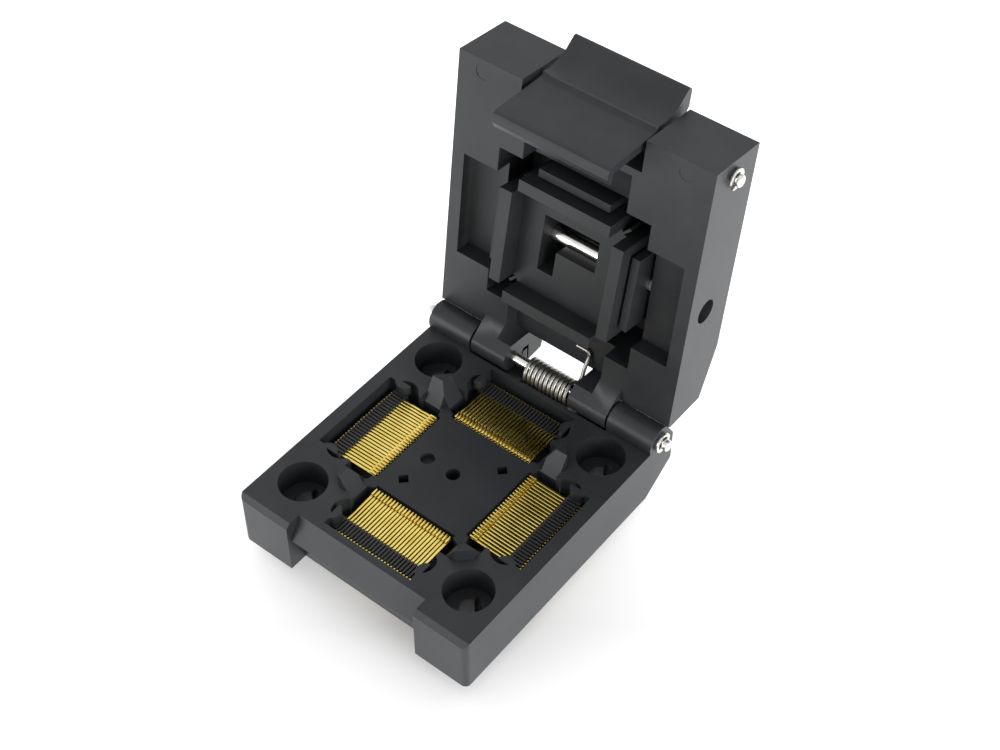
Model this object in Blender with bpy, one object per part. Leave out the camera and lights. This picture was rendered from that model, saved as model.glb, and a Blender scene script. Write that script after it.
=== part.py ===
# Test socket for a quad flat chip: a moulded base with four rows of spring contacts round a
# platform, and a hinged clamp lid with a rocking pressure pad and a sprung latch.
# Sizes are in millimetres and become metres through MM. X runs along the hinge, Y from the
# latch side to the hinge, Z up from the face that lies on the board.
import math
import bmesh
import bpy
from mathutils import Vector

MM = 0.001

# Running clearance of a shaft in a hole, and of a piece in its seat
RUNNING = 0.05
SEAT = 0.05

# Contact rows: the count and the pitch set the comb, and the comb sets the pieces round it
CONTACTS = 25
PITCH = 0.5
CONTACT_WIDE = 0.22
COMB_HALF = (CONTACTS - 1) * PITCH / 2 + 0.85

# Wells of the contact rows, which set the size of the base round them
WELL_HALF = COMB_HALF + 0.15
WELL_END = WELL_HALF + 9.45
SIDE_WALL = 1.85
FRONT_WALL = 3.45

# Base block
BASE_HALF = WELL_END + SIDE_WALL
FRONT_Y = -WELL_END - FRONT_WALL
BACK_Y = WELL_END + 5.95
TOP_Z = 8.65
EDGE = 0.7
CORNER = 0.8

# Hinge
HINGE_Y = BACK_Y - 3.1
HINGE_Z = TOP_Z + 0.9
KNUCKLE = 2.15
KNUCKLE_GAP = 11.2
GROOVE_BACK = TOP_Z - 2.5
SPRING_GAP = (-5.5, 5.1)
SWEEP = KNUCKLE + 0.3
SHAFT = 0.775
OPEN_ANGLE = 97.0

# Platform that the chip lies on
PLATFORM = WELL_HALF + 0.3
CORNER_TAB = WELL_HALF + 1.4
PLATFORM_Z = TOP_Z - 1.15
PLATFORM_UNDER = 4.5

# Guide posts at the corners of the platform
POST = (WELL_HALF + 0.35, WELL_HALF + 4.0)
POST_CHAMFER = 1.6
POST_TOP = TOP_Z + 2.0
POST_SLOPE = POST[1] - 1.7
POST_LEAN = (0.86, 0.51)

# Contact tips, comb and tails, outward from the platform
TIP = (PLATFORM + 0.4, PLATFORM + 1.55)
TIP_Z = TOP_Z - 1.25
COMB = (WELL_END - 3.1, WELL_END - 1.0)
COMB_Z = TOP_Z - 1.5
FOOT = (TIP[1] + 0.15, WELL_END - 0.5)
TAILS = (WELL_END - 6.85, WELL_END - 4.95, WELL_END - 3.05, WELL_END - 1.15)
TAIL_END = -3.0

# Corner pockets of the base
POCKET_AT = (BASE_HALF - 4.9, BASE_HALF - 5.0)
POCKET = 3.225
POCKET_DEEP = 4.1
POCKET_HOLE = 1.6

# Lens-shaped recesses beside the comb ends, and the lugs at their outer ends
LENS_AT = -WELL_END + 3.1
LENS = 2.03
LENS_FLOOR = 4.9
LUG_AT = -WELL_END + 2.05
LUG = 1.3

# Tail plate under the base
PLATE = 1.9
PLATE_ARM = (WELL_END - 0.05, WELL_HALF + 0.6)
PLATE_MIDDLE = WELL_HALF + 3.8
SCREW_AT = WELL_HALF + 1.8
SCREW = 0.75

# Lid, in distances from the hinge axis: out along the lid, and in towards the base
LID_HALF = BASE_HALF + 0.38
LID_RIM = -0.9
LID_BACK = -10.0
LID_START = 1.7
PAD_AT = HINGE_Y - 0.35
BLADE = (TIP[0] - 0.05, TIP[0] + 1.6)
CAVITY = BLADE[1] + 2.1
CAVITY_FLOOR = -8.6
POCKET_OUT = CAVITY + 5.35
POCKET_HALF = 7.8
POCKET_FLOOR = LID_RIM - 2.5
LEG_OUT = 5.0

# Pressure pad and its pins
PIN_IN = -4.75
PIN = 1.1
PAD_TILT = -4.0
PAD_BACK = LID_RIM - 4.85
PAD_WINDOW = 4.2
PIN_RECESS = 1.7
PIN_HOLE = 1.65
BLADE_HALF = COMB_HALF + 0.05
BLADE_TIP = 6.15
PUSH_AT = BLADE_HALF - 0.8
STRIP = (BLADE[1] + 0.4, BLADE[1] + 1.5)
STRIP_HALF = BLADE_HALF - 1.5
STRIP_RISE = 1.2

# Latch
LATCH_OUT = PAD_AT + POCKET_OUT + 3.2
LATCH_IN = -4.95
LATCH_HALF = 8.4
LATCH_SLOT = LATCH_HALF + 0.6
LATCH_WALL = LATCH_OUT - 2.1
LID_END = LATCH_OUT + 2.4
LATCH_SHAFT = 0.8
LATCH_BOSS = 1.75
LIP_HALF = 10.2

# Retaining rings
RING = 1.45

# Round pieces
FACETS = 24


def clear_scene():
    for item in list(bpy.data.objects):
        bpy.data.objects.remove(item, do_unlink=True)


def material(name, colour, roughness, metallic):
    made = bpy.data.materials.new(name)
    made.use_nodes = True
    shader = made.node_tree.nodes["Principled BSDF"]
    shader.inputs["Base Color"].default_value = (*colour, 1.0)
    shader.inputs["Roughness"].default_value = roughness
    shader.inputs["Metallic"].default_value = metallic
    return made


clear_scene()
scene = bpy.context.scene
parts = bpy.data.collections.new("ic test socket")
helpers = bpy.data.collections.new("cutters")
scene.collection.children.link(parts)
scene.collection.children.link(helpers)

black = material("black_plastic", (0.045, 0.048, 0.055), 0.45, 0.0)
dark = material("pad_plastic", (0.05, 0.052, 0.058), 0.5, 0.0)
gold = material("gold_plate", (0.83, 0.62, 0.2), 0.28, 1.0)
steel = material("bright_steel", (0.72, 0.72, 0.7), 0.25, 1.0)
ring_steel = material("dark_steel", (0.3, 0.3, 0.31), 0.35, 1.0)


def pivot(name, y, z, parent, angle):
    """An empty on a joint's axis, turned about X by the angle in degrees."""
    made = bpy.data.objects.new(name, None)
    parts.objects.link(made)
    made.hide_render = True
    made.location = (0.0, y * MM, z * MM)
    made.rotation_euler = (math.radians(angle), 0.0, 0.0)
    made.parent = parent
    return made


def add_object(name, bm, parent, surface, helper=False):
    data = bpy.data.meshes.new(name)
    bm.to_mesh(data)
    bm.free()
    made = bpy.data.objects.new(name, data)
    made.parent = parent
    if surface is not None:
        data.materials.append(surface)
    if helper:
        helpers.objects.link(made)
        made.hide_render = True
        made.display_type = "WIRE"
    else:
        parts.objects.link(made)
    return made


def combine(part, bm, operation, label):
    """A live exact Boolean on the part, with its tool kept beside the other cutters."""
    tool = add_object(part.name + "_" + label, bm, part.parent, None, helper=True)
    change = part.modifiers.new(label, "BOOLEAN")
    change.operation = operation
    change.solver = "EXACT"
    change.object = tool


def cut(part, bm, label):
    combine(part, bm, "DIFFERENCE", label)


def join(part, bm, label):
    combine(part, bm, "UNION", label)


def prism(bm, points, axis, low, high):
    """A closed solid from an outline, run along one axis."""
    def place(point, height):
        if axis == "X":
            return Vector((height, point[0], point[1])) * MM
        if axis == "Y":
            return Vector((point[0], height, point[1])) * MM
        return Vector((point[0], point[1], height)) * MM
    start = [bm.verts.new(place(point, low)) for point in points]
    end = [bm.verts.new(place(point, high)) for point in points]
    faces = [bm.faces.new(start), bm.faces.new(end)]
    for i in range(len(points)):
        k = (i + 1) % len(points)
        faces.append(bm.faces.new((start[i], start[k], end[k], end[i])))
    bmesh.ops.recalc_face_normals(bm, faces=faces)
    return faces


def block(bm, x, y, z):
    return prism(bm, ((x[0], y[0]), (x[1], y[0]), (x[1], y[1]), (x[0], y[1])), "Z", z[0], z[1])


def lid_block(bm, x, out, inward):
    """A block in lid distances, kept in the hinge pivot's own axes."""
    return block(bm, x, (-out[1], -out[0]), (-inward[1], -inward[0]))


def arc(centre, radius, start, end, count):
    points = []
    for i in range(count + 1):
        angle = math.radians(start + (end - start) * i / count)
        points.append((centre[0] + radius * math.cos(angle), centre[1] + radius * math.sin(angle)))
    return points


def circle(centre, radius, count=FACETS):
    return arc(centre, radius, 0.0, 360.0, count)[:-1]


def turned(bm, profile, centre, count=FACETS):
    """A round solid about a line along X, from (x, radius) steps."""
    rings = []
    for x, radius in profile:
        ring = [bm.verts.new(Vector((x, p[0], p[1])) * MM) for p in circle(centre, radius, count)]
        rings.append(ring)
    faces = [bm.faces.new(rings[0]), bm.faces.new(rings[-1])]
    for a, b in zip(rings, rings[1:]):
        for i in range(count):
            k = (i + 1) % count
            faces.append(bm.faces.new((a[i], a[k], b[k], b[i])))
    bmesh.ops.recalc_face_normals(bm, faces=faces)


def tube(bm, points, radius, sides):
    """A round wire along a line of points, closed at both ends."""
    line = [Vector(p) for p in points]
    across = None
    rings = []
    for i, point in enumerate(line):
        ahead = line[min(i + 1, len(line) - 1)] - line[max(i - 1, 0)]
        ahead.normalize()
        if across is None:
            across = ahead.orthogonal().normalized()
        across = (across - ahead * across.dot(ahead)).normalized()
        side = ahead.cross(across)
        ring = []
        for k in range(sides):
            angle = 2.0 * math.pi * k / sides
            offset = across * math.cos(angle) + side * math.sin(angle)
            ring.append(bm.verts.new((point + offset * radius) * MM))
        rings.append(ring)
    faces = [bm.faces.new(rings[0]), bm.faces.new(rings[-1])]
    for a, b in zip(rings, rings[1:]):
        for k in range(sides):
            j = (k + 1) % sides
            faces.append(bm.faces.new((a[k], a[j], b[j], b[k])))
    bmesh.ops.recalc_face_normals(bm, faces=faces)


def sliced(bm, point, normal):
    """Cuts away what lies beyond a plane and closes the cut."""
    geometry = bm.verts[:] + bm.edges[:] + bm.faces[:]
    bmesh.ops.bisect_plane(bm, geom=geometry, plane_co=Vector(point) * MM,
                           plane_no=Vector(normal), clear_outer=True)
    edges = [edge for edge in bm.edges if edge.is_boundary]
    bmesh.ops.holes_fill(bm, edges=edges)
    bmesh.ops.recalc_face_normals(bm, faces=bm.faces[:])


def quarter_turns(point):
    """The same point on each side: front, right, back and left."""
    x, y = point
    return ((x, y), (-y, x), (-x, -y), (y, -x))


CORNERS = ((1, 1), (-1, 1), (-1, -1), (1, -1))
SIDES = ("front", "right", "back", "left")

lid_pivot = pivot("lid_pivot", HINGE_Y, HINGE_Z, None, -OPEN_ANGLE)
pad_pivot = pivot("pad_pivot", -PAD_AT, -PIN_IN, lid_pivot, PAD_TILT)
latch_pivot = pivot("latch_pivot", -LATCH_OUT, -LATCH_IN, lid_pivot, 0.0)

# Base housing: the side profile, with its rear knuckles, cut to a rounded plan
knuckle_centre = (HINGE_Y, HINGE_Z)
profile = [(FRONT_Y, 0.0), (BACK_Y - 5.3, 0.0), (BACK_Y, TOP_Z - 5.0), (BACK_Y, TOP_Z - 0.1)]
profile += arc(knuckle_centre, KNUCKLE, 22.0, 205.0, 14)
profile += [(HINGE_Y - 2.3, TOP_Z), (FRONT_Y + EDGE, TOP_Z), (FRONT_Y, TOP_Z - EDGE)]
bm = bmesh.new()
prism(bm, profile, "X", -BASE_HALF, BASE_HALF)
base = add_object("base_housing", bm, None, black)

plan = []
for sx, sy, start in ((1, -1, -90), (1, 1, 0), (-1, 1, 90), (-1, -1, 180)):
    corner_y = FRONT_Y + CORNER if sy < 0 else BACK_Y + 5.0
    plan += arc((sx * (BASE_HALF - CORNER), corner_y), CORNER, start, start + 90, 4)
bm = bmesh.new()
prism(bm, plan, "Z", -1.0, 15.0)
combine(base, bm, "INTERSECT", "plan")

# Sloped lip that the latch hooks under, between two feet
lip = [(-2.1, TOP_Z + 1.0), (2.8, TOP_Z + 1.0), (2.4, TOP_Z), (0.5, TOP_Z - 3.3),
       (2.6, TOP_Z - 3.5), (2.6, -1.0), (-2.1, -1.0)]
lip = [(FRONT_Y + y, z) for y, z in lip]
bm = bmesh.new()
prism(bm, lip, "X", -LIP_HALF, LIP_HALF)
cut(base, bm, "lip")

# Groove between the base knuckles, for the lid knuckles and the spring
groove = [(HINGE_Y - SWEEP, HINGE_Z + 4.0)]
groove += arc(knuckle_centre, SWEEP, 180.0, 338.5, 12)
groove += [(HINGE_Y + 5.0, TOP_Z), (HINGE_Y + 5.0, HINGE_Z + 4.0)]
bm = bmesh.new()
prism(bm, groove, "X", -KNUCKLE_GAP - 0.15, KNUCKLE_GAP + 0.15)
cut(base, bm, "hinge_groove")
bm = bmesh.new()
block(bm, SPRING_GAP, (HINGE_Y + 0.5, BACK_Y + 2.0), (GROOVE_BACK, HINGE_Z + 4.0))
cut(base, bm, "spring_window")

# Cross-shaped opening for the contact rows and the platform
opening = PLATFORM + SEAT
arm = ((-WELL_HALF, -WELL_END), (WELL_HALF, -WELL_END), (WELL_HALF, -opening),
       (opening, -opening), (opening, -WELL_HALF))
outline = []
for turn in range(4):
    for point in arm:
        outline.append(quarter_turns(point)[turn])
bm = bmesh.new()
prism(bm, outline, "Z", 1.0, TOP_Z + 1.0)
cut(base, bm, "wells")

# Seats of the four guide posts
bm = bmesh.new()
low, high = WELL_HALF - 0.25, POST[1] + SEAT
for sx, sy in CORNERS:
    edge = POST[1] - POST_CHAMFER
    seat = ((low, low), (high, low), (high, edge), (edge, high), (low, high))
    seat = [(sx * x, sy * y) for x, y in seat]
    prism(bm, seat, "Z", PLATFORM_UNDER - SEAT, TOP_Z + 1.0)
cut(base, bm, "post_seats")


def plus_outline(grow):
    arm_end, arm_half = PLATE_ARM[0] + grow, PLATE_ARM[1] + grow
    middle = PLATE_MIDDLE + grow
    run = ((-arm_half, -arm_end), (arm_half, -arm_end), (arm_half, -middle),
           (middle, -middle), (middle, -arm_half))
    points = []
    for turn in range(4):
        for point in run:
            points.append(quarter_turns(point)[turn])
    return points


# Recess of the tail plate in the underside
bm = bmesh.new()
prism(bm, plus_outline(SEAT), "Z", -1.0, PLATE + SEAT)
cut(base, bm, "plate_recess")

# Corner pockets with a smaller hole and two notches each
bm = bmesh.new()
for sx, sy in CORNERS:
    centre = (sx * POCKET_AT[0], sy * POCKET_AT[1])
    prism(bm, circle(centre, POCKET, 32), "Z", TOP_Z - POCKET_DEEP, TOP_Z + 1.0)
cut(base, bm, "pockets")
bm = bmesh.new()
for sx, sy in CORNERS:
    centre = (sx * POCKET_AT[0], sy * POCKET_AT[1])
    notched = []
    for start in (-75, 105):
        notched += arc(centre, POCKET_HOLE, start, start + 150, 8)
        wide = math.radians(start + 165)
        for angle in (wide - 0.2, wide + 0.2):
            notched.append((centre[0] + 2.3 * math.cos(angle), centre[1] + 2.3 * math.sin(angle)))
    prism(bm, notched, "Z", -1.0, TOP_Z - POCKET_DEEP + 0.5)
cut(base, bm, "pocket_holes")

# Lens-shaped recess beside each end of a comb, with a rounded lug at its outer end
lugs = bmesh.new()
lenses = bmesh.new()
for turn in range(4):
    for side in (-1, 1):
        lug = arc((WELL_HALF + 0.6, LUG_AT), LUG, 112.0, 248.0, 8)
        lug = [(WELL_HALF + 0.35, lug[0][1])] + lug + [(WELL_HALF + 0.35, lug[-1][1])]
        lens = arc((WELL_HALF - 1.03, LENS_AT), LENS, -66.0, 66.0, 8)
        for outline, target, z in ((lug, lugs, (COMB_Z + 0.1, TOP_Z)),
                                   (lens, lenses, (LENS_FLOOR, TOP_Z + 1.0))):
            placed = [quarter_turns((side * x, y))[turn] for x, y in outline]
            prism(target, placed, "Z", z[0], z[1])
cut(base, lenses, "lenses")
join(base, lugs, "lugs")

# Bore of the hinge shaft, and holes of the plate screws
bm = bmesh.new()
prism(bm, circle(knuckle_centre, SHAFT + RUNNING), "X", -BASE_HALF - 2.0, BASE_HALF + 2.0)
cut(base, bm, "hinge_bore")
bm = bmesh.new()
for sx, sy in CORNERS:
    prism(bm, circle((sx * SCREW_AT, sy * SCREW_AT), SCREW + RUNNING, 16), "Z", 1.0, PLATFORM_UNDER + 0.5)
cut(base, bm, "screw_holes")

# Platform with its holes and the four guide posts
bm = bmesh.new()
end, side, tab = PLATFORM, WELL_HALF - 0.65, CORNER_TAB
corner = ((side, -end), (side + 0.1, -end - 0.55), (tab, -tab), (end + 0.55, -side - 0.1), (end, -side))
corners = []
for turn in range(4):
    for point in corner:
        corners.append(quarter_turns(point)[turn])
prism(bm, corners, "Z", PLATFORM_UNDER, PLATFORM_Z)
nest = add_object("chip_platform", bm, None, black)
bm = bmesh.new()
for sx, sy in CORNERS:
    post = bmesh.new()
    low, high = POST
    edge = high - POST_CHAMFER
    shape = ((low, low), (high, low), (high, edge), (edge, high), (low, high))
    prism(post, [(sx * x, sy * y) for x, y in shape], "Z", PLATFORM_UNDER, POST_TOP)
    sliced(post, (sx * POST_SLOPE, 0.0, POST_TOP), (-sx * POST_LEAN[0], 0.0, POST_LEAN[1]))
    sliced(post, (0.0, sy * POST_SLOPE, POST_TOP), (0.0, -sy * POST_LEAN[0], POST_LEAN[1]))
    data = bpy.data.meshes.new("post")
    post.to_mesh(data)
    post.free()
    bm.from_mesh(data)
    bpy.data.meshes.remove(data)
join(nest, bm, "posts")
bm = bmesh.new()
for sx, sy in CORNERS:
    reach = (POST[0] - 0.55, CORNER_TAB)
    x = sorted((sx * reach[0], sx * reach[1]))
    y = sorted((sy * reach[0], sy * reach[1]))
    block(bm, x, y, (PLATFORM_Z, POST_TOP + 1.0))
cut(nest, bm, "corner_pockets")
bm = bmesh.new()
prism(bm, circle((0.0, 0.0), 0.95), "Z", 0.0, TOP_Z)
for x, y in ((-4.45, -4.45), (4.5, 4.4)):
    prism(bm, circle((x, y), 0.88, 4), "Z", 0.0, TOP_Z)
prism(bm, circle((-4.2, 0.0), 0.95), "Z", PLATFORM_Z - 0.9, TOP_Z)
for sx, sy in CORNERS:
    prism(bm, circle((sx * SCREW_AT, sy * SCREW_AT), SCREW + RUNNING, 16), "Z", 0.0, PLATFORM_Z - 0.5)
cut(nest, bm, "holes")

# Contact rows: twenty-five contacts in one comb, on each side of the platform
for turn, side in enumerate(SIDES):
    def placed(points):
        return [quarter_turns(point)[turn] for point in points]

    comb = ((FOOT[0], 2.0), (FOOT[1], 2.0), (FOOT[1], 2.8), (COMB[1], 2.8), (COMB[1], COMB_Z),
            (COMB[0], COMB_Z), (COMB[0], 2.8), (FOOT[0], 2.8))
    axis = "X" if turn % 2 == 0 else "Y"
    sign = -1 if side in ("front", "left") else 1
    bm = bmesh.new()
    prism(bm, [(sign * r, z) for r, z in comb], axis, -COMB_HALF, COMB_HALF)
    row = add_object("contact_row_" + side, bm, None, gold)
    beam = ((TIP[0], TIP_Z), (TIP[1], TIP_Z), (TIP[1] + 0.25, TIP_Z - 0.2),
            (COMB[0] + 0.35, COMB_Z - 0.1), (COMB[0] + 0.35, COMB_Z - 0.45),
            (TIP[1] + 0.15, TIP_Z - 0.55), (TIP[1] - 0.1, TIP_Z - 0.35), (TIP[0], TIP_Z - 0.35))
    bm = bmesh.new()
    for i in range(CONTACTS):
        t = (i - (CONTACTS - 1) / 2) * PITCH
        low, high = t - CONTACT_WIDE / 2, t + CONTACT_WIDE / 2
        prism(bm, [(sign * r, z) for r, z in beam], axis, low, high)
        heel = ((COMB[1] - 0.2, 2.6), (COMB[1] + 0.1, 2.6), (COMB[1] + 0.1, COMB_Z - 0.5),
                (COMB[1] - 0.2, COMB_Z - 0.5))
        prism(bm, [(sign * r, z) for r, z in heel], axis, low, high)
        r = TAILS[i % len(TAILS)]
        tail = ((r - 0.15, TAIL_END), (r + 0.15, TAIL_END), (r + 0.15, 2.2), (r - 0.15, 2.2))
        prism(bm, [(sign * r, z) for r, z in tail], axis, low, high)
    join(row, bm, "contacts")

# Tail plate with a square hole for each contact tail
bm = bmesh.new()
prism(bm, plus_outline(0.0), "Z", 0.0, PLATE)
plate = add_object("tail_plate", bm, None, black)
bm = bmesh.new()
for turn, side in enumerate(SIDES):
    sign = -1 if side in ("front", "left") else 1
    for i in range(CONTACTS):
        t = (i - (CONTACTS - 1) / 2) * PITCH
        r = TAILS[i % len(TAILS)] * sign
        across, along = (t - 0.25, t + 0.25), (r - 0.3, r + 0.3)
        if turn % 2 == 0:
            block(bm, across, along, (-1.0, PLATE + 1.0))
        else:
            block(bm, along, across, (-1.0, PLATE + 1.0))
cut(plate, bm, "tail_holes")
bm = bmesh.new()
for sx, sy in CORNERS:
    prism(bm, circle((sx * SCREW_AT, sy * SCREW_AT), SCREW + RUNNING, 16), "Z", -1.0, 3.0)
cut(plate, bm, "screw_holes")
bm = bmesh.new()
for sx, sy in CORNERS:
    prism(bm, circle((sx * SCREW_AT, sy * SCREW_AT), 1.45, 16), "Z", -1.0, 0.9)
cut(plate, bm, "screw_heads")

# Plate screws, put in from below
for number, (sx, sy) in enumerate(CORNERS):
    bm = bmesh.new()
    centre = (sx * SCREW_AT, sy * SCREW_AT)
    rings = []
    for z, radius in ((0.1, 1.2), (0.3, 1.4), (0.85, 1.4), (0.85, SCREW), (PLATFORM_Z - 0.7, SCREW)):
        ring = [bm.verts.new(Vector((p[0], p[1], z)) * MM) for p in circle(centre, radius, 16)]
        rings.append(ring)
    bm.faces.new(rings[0])
    bm.faces.new(rings[-1])
    for a, b in zip(rings, rings[1:]):
        for i in range(16):
            k = (i + 1) % 16
            bm.faces.new((a[i], a[k], b[k], b[i]))
    bmesh.ops.recalc_face_normals(bm, faces=bm.faces[:])
    screw = add_object("plate_screw_%d" % (number + 1), bm, None, steel)
    bm = bmesh.new()
    block(bm, (centre[0] - 0.15, centre[0] + 0.15), (centre[1] - 1.5, centre[1] + 1.5), (-1.0, 0.4))
    cut(screw, bm, "slot")

# Hinge shaft with a groove for a retaining ring at each end
bm = bmesh.new()
groove_x = (BASE_HALF + 0.2, BASE_HALF + 0.62)
shaft_end = BASE_HALF + 1.5
steps = [(-shaft_end, SHAFT - 0.15), (-shaft_end + 0.15, SHAFT), (-groove_x[1], SHAFT), (-groove_x[1], 0.6),
         (-groove_x[0], 0.6), (-groove_x[0], SHAFT)]
steps += [(-x, radius) for x, radius in reversed(steps)]
turned(bm, steps, knuckle_centre)
add_object("hinge_shaft", bm, None, steel)


def ring_points(centre, bore):
    points = arc(centre, RING, -65.0, 245.0, 16)
    points += arc(centre, bore, 245.0, -65.0, 10)
    return points


for side, sign in (("left", -1), ("right", 1)):
    bm = bmesh.new()
    x = sorted((sign * (groove_x[0] + 0.02), sign * (groove_x[1] - 0.02)))
    prism(bm, ring_points(knuckle_centre, 0.63), "X", x[0], x[1])
    add_object("hinge_ring_" + side, bm, None, ring_steel)

# Torsion spring on the hinge shaft: one leg up the lid, one foot in the groove
turns, per_turn = 12, 8
coil_x = (SPRING_GAP[0] + 2.8, SPRING_GAP[1] - 0.4)
points = [(coil_x[0], HINGE_Y - 1.75, HINGE_Z - 1.4)]
for i in range(turns * per_turn + 2):
    angle = math.radians(-90.0 + 360.0 * i / per_turn)
    x = coil_x[0] + (coil_x[1] - coil_x[0]) * i / (turns * per_turn + 1)
    points.append((x, HINGE_Y + 1.4 * math.cos(angle), HINGE_Z + 1.4 * math.sin(angle)))
slope = math.radians(OPEN_ANGLE)


def opened(x, out, inward):
    """A point given in lid distances, with the lid standing open."""
    y = HINGE_Y - out * math.cos(slope) - inward * math.sin(slope)
    z = HINGE_Z + out * math.sin(slope) - inward * math.cos(slope)
    return (x, y, z)


lie = POCKET_FLOOR + 0.32
points += [opened(coil_x[1], 0.9, -1.45), opened(coil_x[1] + 0.05, 2.6, -1.75),
           opened(coil_x[1] + 0.05, LEG_OUT - 0.35, lie), opened(coil_x[1] - 0.1, LEG_OUT - 0.1, lie),
           opened(coil_x[1] - 0.35, LEG_OUT, lie), opened(coil_x[1] - 2.6, LEG_OUT, lie)]
bm = bmesh.new()
tube(bm, points, 0.25, 6)
add_object("hinge_spring", bm, None, steel)

# Lid cover
bm = bmesh.new()
side_view = ((LID_START, LID_RIM), (LID_END, LID_RIM), (LID_END, LID_BACK + 0.1),
             (LID_END - 0.1, LID_BACK), (10.2, LID_BACK), (2.45, -7.8))
prism(bm, [(-out, -inward) for out, inward in side_view], "X", -LID_HALF, LID_HALF)
lid = add_object("lid_cover", bm, lid_pivot, black)
bm = bmesh.new()
for sign in (-1, 1):
    x = sorted((sign * (KNUCKLE_GAP - 0.15), sign * (LID_HALF + 2.0)))
    prism(bm, circle((0.0, 0.0), SWEEP, 28), "X", x[0], x[1])
cut(lid, bm, "knuckle_sweep")
# Each knuckle carries a lug behind it, which stops the lid against the back of the base
bm = bmesh.new()
web = [(-4.5, 1.5)]
web += arc((0.0, 0.0), KNUCKLE, 240.0, 450.0, 16)
web += [(0.0, 3.45), (2.9, 3.72), (2.4, 6.5), (-2.3, 7.2), (-4.5, 7.2)]
for x in ((-KNUCKLE_GAP + 0.15, SPRING_GAP[0]), (SPRING_GAP[1], KNUCKLE_GAP - 0.15)):
    prism(bm, web, "X", x[0], x[1])
join(lid, bm, "knuckles")
bm = bmesh.new()
lid_block(bm, SPRING_GAP, (-3.0, LID_START - 0.05), (LID_BACK - 2.0, 4.0))
cut(lid, bm, "spring_slot")
bm = bmesh.new()
lid_block(bm, SPRING_GAP, (LID_START - 1.0, PAD_AT - POCKET_OUT + 0.5), (POCKET_FLOOR, 4.0))
cut(lid, bm, "leg_slot")
bm = bmesh.new()
near, far = PAD_AT - CAVITY, PAD_AT + CAVITY
lid_block(bm, (-CAVITY, CAVITY), (near, far), (CAVITY_FLOOR, 3.0))
cut(lid, bm, "cavity")
bm = bmesh.new()
lid_block(bm, (-POCKET_OUT, -CAVITY + 0.5), (PAD_AT - POCKET_HALF, PAD_AT + POCKET_HALF),
          (POCKET_FLOOR, 3.0))
lid_block(bm, (CAVITY - 0.5, POCKET_OUT), (PAD_AT - POCKET_HALF, PAD_AT + POCKET_HALF),
          (POCKET_FLOOR, 3.0))
lid_block(bm, (-POCKET_HALF, POCKET_HALF), (PAD_AT - POCKET_OUT, near + 0.5), (POCKET_FLOOR, 3.0))
lid_block(bm, (-POCKET_HALF, POCKET_HALF), (far - 0.5, PAD_AT + POCKET_OUT), (POCKET_FLOOR, 3.0))
cut(lid, bm, "side_pockets")
bm = bmesh.new()
lid_block(bm, (-LATCH_SLOT, LATCH_SLOT), (LATCH_WALL, LID_END + 3.0), (LID_BACK - 2.0, 3.0))
cut(lid, bm, "latch_slot")
through = LID_HALF + 2.0
bm = bmesh.new()
prism(bm, circle((0.0, 0.0), SHAFT + RUNNING), "X", -through, through)
cut(lid, bm, "hinge_bore")
bm = bmesh.new()
prism(bm, circle((-PAD_AT, -PIN_IN), PIN + RUNNING), "X", -through, through)
cut(lid, bm, "pin_holes")
bm = bmesh.new()
for sign in (-1, 1):
    x = sorted((sign * (LID_HALF - PIN_RECESS + 0.15), sign * through))
    prism(bm, circle((-PAD_AT, -PIN_IN), PIN_HOLE), "X", x[0], x[1])
cut(lid, bm, "pin_hole_mouths")
bm = bmesh.new()
prism(bm, circle((-LATCH_OUT, -LATCH_IN), LATCH_SHAFT + RUNNING), "X", -through, through)
cut(lid, bm, "latch_bore")

# Pressure pad: plate with corner tabs, a blade, a flange and a strip per side, and a window
face = LID_RIM - 0.7 - PIN_IN
back = PIN_IN - PAD_BACK
half, reach = BLADE_HALF, BLADE[1]
tab_in, tab_out = BLADE_HALF + 0.1, BLADE_HALF + 1.3
bm = bmesh.new()
run = ((-half, -reach), (half, -reach), (half, -half - 0.45), (tab_in, -tab_in - 0.2),
       (tab_out - 0.3, -tab_out), (tab_out, -tab_out + 0.3), (tab_in + 0.2, -tab_in),
       (half + 0.45, -half))
outline = []
for turn in range(4):
    for point in run:
        outline.append(quarter_turns(point)[turn])
prism(bm, outline, "Z", -face, back)
pad = add_object("pressure_pad", bm, pad_pivot, dark)
for label, half, reach, z in (("blades", BLADE_HALF, BLADE, (-BLADE_TIP, -face + 0.5)),
                              ("flanges", STRIP_HALF, (BLADE[1] - 0.3, STRIP[1]), (back - 1.6, back)),
                              ("strips", STRIP_HALF, STRIP, (-face - STRIP_RISE, back - 0.8))):
    bm = bmesh.new()
    for turn in range(4):
        shape = ((-half, -reach[1]), (half, -reach[1]), (half, -reach[0]), (-half, -reach[0]))
        shape = [quarter_turns(point)[turn] for point in shape]
        prism(bm, shape, "Z", z[0], z[1])
    join(pad, bm, label)
bm = bmesh.new()
window = ((-PAD_WINDOW, -PAD_WINDOW + 0.1), (PAD_WINDOW, -PAD_WINDOW + 0.1),
          (PAD_WINDOW, 0.5), (-1.75, 0.5), (-1.75, PAD_WINDOW), (-PAD_WINDOW, PAD_WINDOW))
prism(bm, window, "Z", -BLADE_TIP - 1.0, back + 1.0)
cut(pad, bm, "window")
bm = bmesh.new()
prism(bm, circle((0.0, 0.0), PIN + RUNNING), "X", -STRIP[1] - 1.0, STRIP[1] + 1.0)
cut(pad, bm, "pin_bore")

# The two pins that the pad rocks on, which meet inside its left wall
pin_end = LID_HALF - PIN_RECESS
for side, ends in (("left", (-pin_end, -PAD_WINDOW - 1.7)), ("right", (-PAD_WINDOW - 1.4, pin_end))):
    bm = bmesh.new()
    steps = [(ends[0], PIN - 0.3), (ends[0] + 0.3, PIN), (ends[1] - 0.3, PIN), (ends[1], PIN - 0.3)]
    turned(bm, steps, (-PAD_AT, -PIN_IN))
    add_object("pad_pin_" + side, bm, lid_pivot, steel)


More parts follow.
